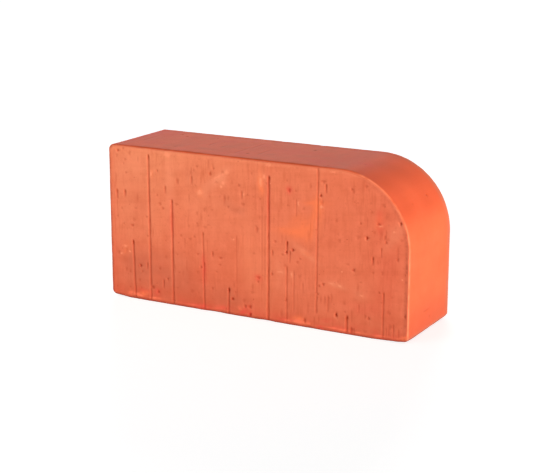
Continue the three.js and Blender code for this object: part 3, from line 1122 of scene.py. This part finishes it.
def skinTones(masks, here, surface):
    x, y, z = surface["base"].T
    normalX, _, normalZ = surface["normal"].T
    across = np.maximum(np.hypot(normalX, normalZ), 0.01)
    up, right = normalZ / across, normalX / across
    bend, skinEdge = surface["bend"], surface["skinEdge"]
    shades, front = skinShades, y < 0
    uneven = 0.85 + noiseAt(x, y, z, 0.4, 6, 4.7)
    broken = 0.75 + noiseAt(x, y, z, 0.6, 3.2, 9.1) + noiseAt(x, y, z, 0.4, 11, 2.6)
    cloud = 0.8 + noiseAt(x, y, z, 0.5, 24, 3.3)
    patches = noiseAt(x, y, z, 1, 15, 5.2) + noiseAt(x, y, z, 0.5, 6, 1.7)
    onTop, flatTop = smoothStep(up, 0.75, 0.99), smoothStep(up, 0.9, 1)
    onEnd = smoothStep(right, 0.85, 0.99)
    onNose = smoothStep(right, 0.12, 0.40) * smoothStep(up, 0.10, 0.35)
    onFoot, onLeft = smoothStep(-up, 0.6, 0.95), smoothStep(-right, 0.6, 0.95)
    onRight, offTop = smoothStep(right, 0.5, 0.9), smoothStep(right, 0.15, 0.5)

    # painted shade: dark lines along the top, the foot and the left, behind, and under the end
    line = np.clip(skinEdge * 1.35, 0, 1) ** 1.6 * uneven
    fromCorner = smoothStep(x, leftEnd + 4, leftEnd + 45) * 0.3 + 0.7
    topLine = onTop * fromCorner * (1 - 0.55 * smoothStep(x, 35, 65)) * shades["topLine"]
    dark = line * (topLine + onFoot * shades["footLine"] + onLeft * shades["leftLine"])
    dark += bell(skinEdge, 0.35, 0.2) * (1 - bend) * onNose * shades["noseLine"] * front
    dark += bend * np.clip(onTop + onNose + onEnd, 0, 1) * shades["backLine"] * ~front
    deepen(masks, "rim", here, np.maximum(dark, smoothStep(z, 2.4, 0.9) * offTop * uneven))

    # pale lips down the end and round the nose, fainter behind: partly paler clay, partly a painted
    # highlight of the arris
    onBend, onSkin = shades["noseLip"]
    lip = np.clip(onEnd * skinEdge ** 1.5 * broken * shades["endLip"], 0, 1)
    lip += np.clip(onNose * (onBend * bend + onSkin * skinEdge ** 3) * broken, 0, 0.75) * noseLipLeft(z)
    deepen(masks, "pale", here, lip * np.where(front, 1, shades["backLip"]))

    # patches of the clay's tone; painted shade beside the back arris, low on the end and along the foot; a
    # smear over the end, less of it beside the back arris and low down
    anywhere, more = shades["ruddyPatches"]
    ruddy = flatTop * smoothStep(-x, 88, 118) * shades["ruddyLeft"] * cloud
    deepen(masks, "ruddy", here, (ruddy + (anywhere + more * flatTop) * patches.clip(0, 1)) * (1 - bend))
    anywhere, more = shades["dullPatches"]
    deepen(masks, "dull", here, (anywhere + more * flatTop) * (-patches).clip(0, 1) * (1 - bend))
    backShadeStrip = smoothStep(y, halfThick - 8, halfThick - 3.2) * smoothStep(right, 0.10, 0.45) * cloud
    deepen(masks, "dull", here, backShadeStrip * shades["backShadeStrip"])
    deepen(masks, "dull", here, smoothStep(z, 32, 8) * onRight * shades["endLowShade"] * cloud)
    deepen(masks, "dull", here, smoothStep(z, 5.5, 2.4) * offTop * shades["skinFootShade"])
    deepen(masks, "smear", here, onEnd * shades["endSmear"] * cloud)
    masks["smear"][here] *= (1 - 0.8 * backShadeStrip.clip(0, 1)) * (1 - smoothStep(z, 30, 8) * 0.6)

    # a deeper tone on the nose, towards it along the top, near the back and where the nose's lip is worn
    # off, and painted shade low on the end
    towardsNose = flatTop * smoothStep(x, 10, 68) * shades["topDeeper"]
    endFoot = onRight * smoothStep(z, 34, 6) * shades["endShade"]
    nearBack = onRight * smoothStep(y, halfThick - 17, halfThick - 7) * shades["backDeeper"]
    wornLip = bend * onRight * (1 - noseLipLeft(z))
    nose = smoothStep(right, 0.02, 0.28) * smoothStep(up, 0.05, 0.50)
    masks["deepAndShade"][here] = np.maximum.reduce([nose, towardsNose, endFoot, nearBack, wornLip]) * cloud


brickMesh = buildBrick()


# a noise is its scale, detail and roughness; a mask of it adds the levels where it starts and is full
firingAndPaintedFalloff = {
    "cloud": (22, 3, 0.55),
    "cloudSize": 0.13,
    # the pale upper left and the deep foot are a painted fall-off of light
    "litRange": (0.02, 0.80),
    "shadedRange": (0.36, -0.08),
    "shadedLean": 0.14,  # how much deeper the painted shade is at the left end
    "brightPatches": (85, 4, 0.65, 0.40, 0.68),
    "darkPatches": (110, 4, 0.65, 0.46, 0.72),
    "specks": (620, 2, 0.60, 0.60, 0.74),
    "apart": (0.31, 0.17, 0.23),  # shifts the dark patches, so that they don't follow the bright ones
}

sand = {
    "fine": (1400, 3, 0.60),
    "fineShare": 0.45,
    "coarse": (420, 3, 0.50),
    "coarseShare": 0.55,
    "pores": (330, 2, 0.50),
    "poreRange": (0.80, 0.62),  # the level where a pore starts when there are none, and when there are most
    "poreEdge": 0.05,
    "poreDepth": 0.9,
}

drawn = {
    "lines": (480, 2, 0.55),
    "bands": (170, 3, 0.60),
    "combed": (38, 2, 0.55, 0.44, 0.62),
    "combingRange": (0.50, 0.66),
}


def newGroup(name, inputs, outputs):
    # an input's kind follows from how many numbers its value has
    group = bpy.data.node_groups.new(name, "ShaderNodeTree")
    for socketName, value in {"Vector": (0, 0, 0), **inputs}.items():
        kind = {1: "Float", 3: "Vector", 4: "Color"}[np.size(value)]
        socket = group.interface.new_socket(socketName, in_out="INPUT", socket_type="NodeSocket" + kind)
        socket.default_value = value
    for socketName, kind in outputs.items():
        group.interface.new_socket(socketName, in_out="OUTPUT", socket_type="NodeSocket" + kind)
    return group, addNode(group, "NodeGroupInput").outputs


def noiseNode(tree, vector, scale, detail, roughness):
    settings = {"Vector": vector, "Scale": scale, "Detail": detail, "Roughness": roughness}
    return addNode(tree, "ShaderNodeTexNoise", settings).outputs["Fac"]


def noiseMask(tree, vector, scale, detail, roughness, start, full):
    return rangeNode(tree, noiseNode(tree, vector, scale, detail, roughness), start, full)


def mixColour(tree, share, first, second):
    return addNode(tree, "ShaderNodeMix", {0: share, 6: first, 7: second}, data_type="RGBA").outputs[2]


def makeToneAndPaintedFalloff():
    # paler to the upper left and deeper at the foot, a painted fall-off of light and painted shade, with
    # the clay's small mottling everywhere
    white, black = (1, 1, 1, 1), (0, 0, 0, 1)
    group, given = newGroup("toneAndPaintedFalloff", {
        "Middle": white, "Lit": white, "Shaded": white, "Bright": white, "Dark": black,
        "Mottle": 0.3, "Height": 0.1, "Length": 0.2,
    }, {"Color": "Color"})
    vector = given["Vector"]
    place = addNode(group, "ShaderNodeSeparateXYZ", {0: vector}).outputs
    cloud = rangeNode(group, noiseNode(group, vector, *firingAndPaintedFalloff["cloud"]), 0.3, 0.7, -firingAndPaintedFalloff["cloudSize"],
                      firingAndPaintedFalloff["cloudSize"])
    rise = mathNode(group, "ADD", mathNode(group, "DIVIDE", place["Z"], given["Height"]), cloud)
    left = mathNode(group, "SUBTRACT", 0.5, mathNode(group, "DIVIDE", place["X"], given["Length"]))
    litShare = rangeNode(group, multiply(group, rise, left), *firingAndPaintedFalloff["litRange"])
    colour = mixColour(group, litShare, given["Middle"], given["Lit"])
    lower = mathNode(group, "SUBTRACT", rise, multiply(group, left, firingAndPaintedFalloff["shadedLean"]))
    colour = mixColour(group, rangeNode(group, lower, *firingAndPaintedFalloff["shadedRange"]), colour, given["Shaded"])

    bright = noiseMask(group, vector, *firingAndPaintedFalloff["brightPatches"])
    colour = mixColour(group, multiply(group, bright, given["Mottle"]), colour, given["Bright"])
    shifted = addNode(group, "ShaderNodeVectorMath", {0: vector, 1: firingAndPaintedFalloff["apart"]}).outputs[0]
    dark = mathNode(group, "ADD", noiseMask(group, shifted, *firingAndPaintedFalloff["darkPatches"]),
                    noiseMask(group, shifted, *firingAndPaintedFalloff["specks"]))
    colour = mixColour(group, multiply(group, dark, given["Mottle"]), colour, given["Dark"])
    addNode(group, "NodeGroupOutput", {"Color": colour})
    return group


def makeClayGrain():
    # the fine sandy grain, as a height and as a mask of open pores
    inputs = {"Grain Size": 1.0, "Pore Share": 0.5}
    group, given = newGroup("clayGrain", inputs, {"Height": "Float", "Pores": "Float"})
    finer = mathNode(group, "DIVIDE", 1, given["Grain Size"])
    scaled = {0: given["Vector"], "Scale": finer}
    vector = addNode(group, "ShaderNodeVectorMath", scaled, operation="SCALE").outputs[0]
    threshold = rangeNode(group, given["Pore Share"], 0, 1, *sand["poreRange"])
    pores = rangeNode(group, noiseNode(group, vector, *sand["pores"]), threshold,
                      mathNode(group, "ADD", threshold, sand["poreEdge"]))
    fine = multiply(group, noiseNode(group, vector, *sand["fine"]), sand["fineShare"])
    coarse = multiply(group, noiseNode(group, vector, *sand["coarse"]), sand["coarseShare"])
    grain = mathNode(group, "ADD", fine, coarse)
    height = mathNode(group, "SUBTRACT", grain, multiply(group, pores, sand["poreDepth"]))
    addNode(group, "NodeGroupOutput", {"Height": height, "Pores": pores})
    return group


def makeDragLines():
    # lines that a wire or a die draws: drawn out along one direction, turned as needed
    inputs = {"Turn": (0, 0, 0), "Drawn Out": (1, 1, 1)}
    outputs = {"Lines": "Float", "Bands": "Float", "Combing": "Float"}
    group, given = newGroup("dragLines", inputs, outputs)
    stretch = {"Vector": given["Vector"], "Rotation": given["Turn"], "Scale": given["Drawn Out"]}
    vector = addNode(group, "ShaderNodeMapping", stretch, vector_type="TEXTURE").outputs[0]
    lines = noiseNode(group, vector, *drawn["lines"])
    combed = noiseMask(group, given["Vector"], *drawn["combed"])
    combing = multiply(group, rangeNode(group, lines, *drawn["combingRange"]), combed)
    bands = noiseNode(group, vector, *drawn["bands"])
    addNode(group, "NodeGroupOutput", {"Lines": lines, "Bands": bands, "Combing": combing})
    return group


toneAndPaintedFalloff, clayGrain, dragLines = makeToneAndPaintedFalloff(), makeClayGrain(), makeDragLines()

clay = {
    "brightTone": (1.0, 0.262, 0.145, 1),
    # the dark tone of the painted shade in hollows and pores, and of the mottle's dark patches and specks
    "hollowShadeAndSpeckTone": (0.40, 0.028, 0.006, 1),
    "streakTone": (0.56, 0.082, 0.028, 1),
    "bandRange": (0.42, 0.66),
    "chatterTurn": -8,
    "chatterDrawn": (16, 16, 1),
    "chatterRange": (0.46, 0.68),
    "footTone": (0.80, 0.092, 0.052, 1),
    "footRange": (10, 4),  # the heights where the foot's patches start and are full
    "footPatches": (70, 3, 0.55, 0.44, 0.56),
    "brokenRange": (0.05, 0.35),  # the lines of painted shade along the edges are rougher, too
    "roughnessSpread": 0.06,
}

# tones that go over the clay where the mesh's masks say, in this order, and how much of each
maskTones = {
    # a deeper tone, painted shade low on the end
    "deepAndShade": ((0.635, 0.086, 0.028, 1), 0.85),
    "fair": ((0.89, 0.270, 0.139, 1), 1.0),
    "dull": ((0.58, 0.142, 0.074, 1), 1.0),
    "ruddy": ((0.78, 0.090, 0.054, 1), 1.0),
    "smear": ((1.0, 0.212, 0.076, 1), 0.90),
    "torn": ((1.0, 0.200, 0.096, 1), 0.92),
    # pale burrs and lips, the lips partly a painted highlight
    "pale": ((0.98, 0.300, 0.150, 1), 0.80),
    # dark lines of painted shade along the edges
    "rim": ((0.38, 0.060, 0.032, 1), 0.75),
}

clayFaces = {
    "wireCutClay": {
        "tone": (0.83, 0.176, 0.084, 1),
        # lit and shaded tones of the painted fall-off of light
        "litTone": (0.815, 0.236, 0.111, 1),
        "shadedTone": (0.69, 0.124, 0.056, 1),
        "mottle": 0.15,
        "grainSize": 1.0,
        "poreShare": 0.35,
        "poreDark": 0.40,
        "drawnOut": (1, 1, 9),
        "bandShade": 0.14,
        "combShade": 0.26,
        "chatterShade": 0.14,
        "footShade": 0.25,
        "lineHeight": 0.04,
        "grainHeight": 0.08,
        "roughness": 0.70,
        "specular": 0.20,
    },
    "dieSkinClay": {
        "tone": (0.86, 0.131, 0.047, 1),
        # lit and shaded tones of the painted fall-off of light
        "litTone": (0.88, 0.146, 0.058, 1),
        "shadedTone": (0.72, 0.100, 0.039, 1),
        "mottle": 0.075,
        "grainSize": 0.8,
        "poreShare": 0.10,
        "poreDark": 0.30,
        "drawnOut": (1, 36, 1),
        "bandShade": 0.08,
        "combShade": 0.08,
        "chatterShade": 0.0,
        "footShade": 0.30,
        "lineHeight": 0.035,
        "grainHeight": 0.06,
        "roughness": 0.42,
        "specular": 0.035,
    },
}


def makeClay(name, settings):
    material = bpy.data.materials.new(name)
    tree = emptyTree(material)
    place = addNode(tree, "ShaderNodeTexCoord").outputs["Object"]
    masks = {key: addNode(tree, "ShaderNodeAttribute", attribute_name=key).outputs["Fac"]
             for key in maskNames}

    def placeGroup(group, inputs):
        return addNode(tree, "ShaderNodeGroup", {"Vector": place, **inputs}, node_tree=group).outputs

    # the clay's tone and mottle, with the painted fall-off of light
    tone = placeGroup(toneAndPaintedFalloff, {"Middle": settings["tone"], "Lit": settings["litTone"],
                                 "Shaded": settings["shadedTone"], "Bright": clay["brightTone"],
                                 "Dark": clay["hollowShadeAndSpeckTone"], "Mottle": settings["mottle"],
                                 "Height": float(brickHeight * mm), "Length": float(brickLength * mm)})
    grain = placeGroup(clayGrain, {"Grain Size": settings["grainSize"],
                                   "Pore Share": settings["poreShare"]})
    drag = placeGroup(dragLines, {"Drawn Out": settings["drawnOut"]})
    chatter = placeGroup(dragLines, {"Turn": (0, math.radians(clay["chatterTurn"]), 0),
                                     "Drawn Out": clay["chatterDrawn"]})
    height = addNode(tree, "ShaderNodeSeparateXYZ", {0: place}).outputs["Z"]
    foot = rangeNode(tree, height, *(limit * mm for limit in clay["footRange"]))
    footPatches = multiply(tree, foot, noiseMask(tree, place, *clay["footPatches"]))

    # lines and bands that the wire or the die draws, then patches at the foot, then the mesh's masks
    streak = clay["streakTone"]
    layers = [
        (rangeNode(tree, drag["Bands"], *clay["bandRange"]), settings["bandShade"], streak),
        (drag["Combing"], settings["combShade"], streak),
        (rangeNode(tree, chatter["Bands"], *clay["chatterRange"]), settings["chatterShade"], streak),
        (footPatches, settings["footShade"], clay["footTone"]),
        *((masks[key], amount, laidTone) for key, (laidTone, amount) in maskTones.items()),
    ]
    colour = tone["Color"]
    for share, amount, laidTone in layers:
        colour = mixColour(tree, multiply(tree, share, amount), colour, laidTone)
    # painted shade: the hollows and the open pores darken towards the dark tone
    pores = multiply(tree, grain["Pores"], settings["poreDark"])
    colour = mixColour(tree, mathNode(tree, "MAXIMUM", masks["hollowShade"], pores), colour, clay["hollowShadeAndSpeckTone"])

    roughness = rangeNode(tree, grain["Height"], 0.2, 0.8, settings["roughness"] - clay["roughnessSpread"],
                          settings["roughness"] + clay["roughnessSpread"])
    roughness = mathNode(tree, "MAXIMUM", roughness, rangeNode(tree, masks["rim"], *clay["brokenRange"]))
    relief = mathNode(tree, "ADD", multiply(tree, grain["Height"], settings["grainHeight"]),
                      multiply(tree, drag["Lines"], settings["lineHeight"]))
    bump = addNode(tree, "ShaderNodeBump", {"Height": relief, "Strength": 1, "Distance": 1 * mm})
    shader = addNode(tree, "ShaderNodeBsdfPrincipled", {"Base Color": colour, "Roughness": roughness,
                                                        "Normal": bump.outputs["Normal"],
                                                        "Specular IOR Level": settings["specular"]})
    addNode(tree, "ShaderNodeOutputMaterial", {"Surface": shader.outputs[0]})
    return material


for name, settings in clayFaces.items():
    brickMesh.materials.append(makeClay(name, settings))
print("clay materials made")


brick = newObject("bullnose_brick_clay", brickMesh)
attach(brick, "root")
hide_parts("bullnose_brick")
print("brick in place")

bpy.context.scene.view_settings.view_transform = "Standard"
